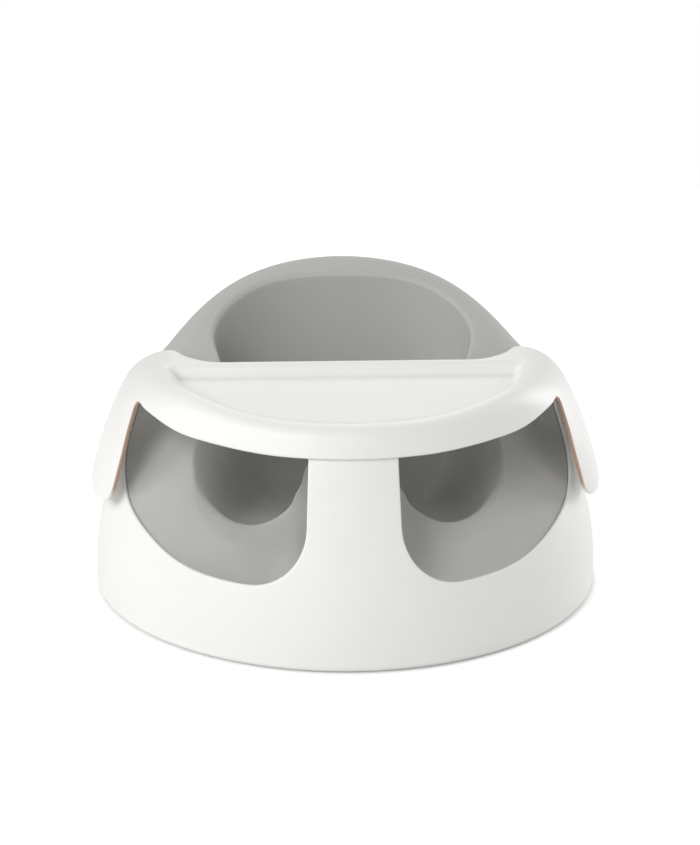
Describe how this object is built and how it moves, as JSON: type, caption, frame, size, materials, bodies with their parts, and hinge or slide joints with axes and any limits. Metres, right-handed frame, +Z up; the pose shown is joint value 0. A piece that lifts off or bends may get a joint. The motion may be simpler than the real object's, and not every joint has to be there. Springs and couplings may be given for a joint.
{
  "type": "baby floor seat",
  "caption": "Round moulded floor seat for a baby, with a lift-out soft foam seat insert, leg openings either side of a front post, and a play tray whose side arms hang over the base.",
  "frame": {"origin": "on the floor, under the middle of the round base", "axes": "+Z up; -Y to the front, where the legs come out; +X to the right seen from the front; the object is the same left and right"},
  "size_m": [0.4184, 0.414, 0.2335],
  "materials": {
    "shell_plastic": "satin white polypropylene",
    "pan_plastic": "matte off-white polypropylene",
    "screw_steel": "zinc plated",
    "foot_rubber": "matte dark rubber",
    "foam_skin": null,
    "tray_plastic": "satin white polypropylene"
  },
  "bodies": {
    "base": {"base_shell": "shell_plastic", "floor_pan": "pan_plastic", "pan_screws": "screw_steel", "foot_1": "foot_rubber", "foot_2": "foot_rubber", "foot_3": "foot_rubber", "foot_4": "foot_rubber", "foot_5": "foot_rubber", "foot_6": "foot_rubber"},
    "insert": {"seat_insert": "foam_skin"},
    "tray": {"tray": "tray_plastic"}
  },
  "joints": [
    {"name": "insert_lift", "type": "slide", "parent": "base", "child": "insert", "axis": [0, 0, 1], "range_m": [0, 0.25]},
    {"name": "tray_lift", "type": "slide", "parent": "insert", "child": "tray", "axis": [0, 0, 1], "range_m": [0, 0.15]}
  ]
}
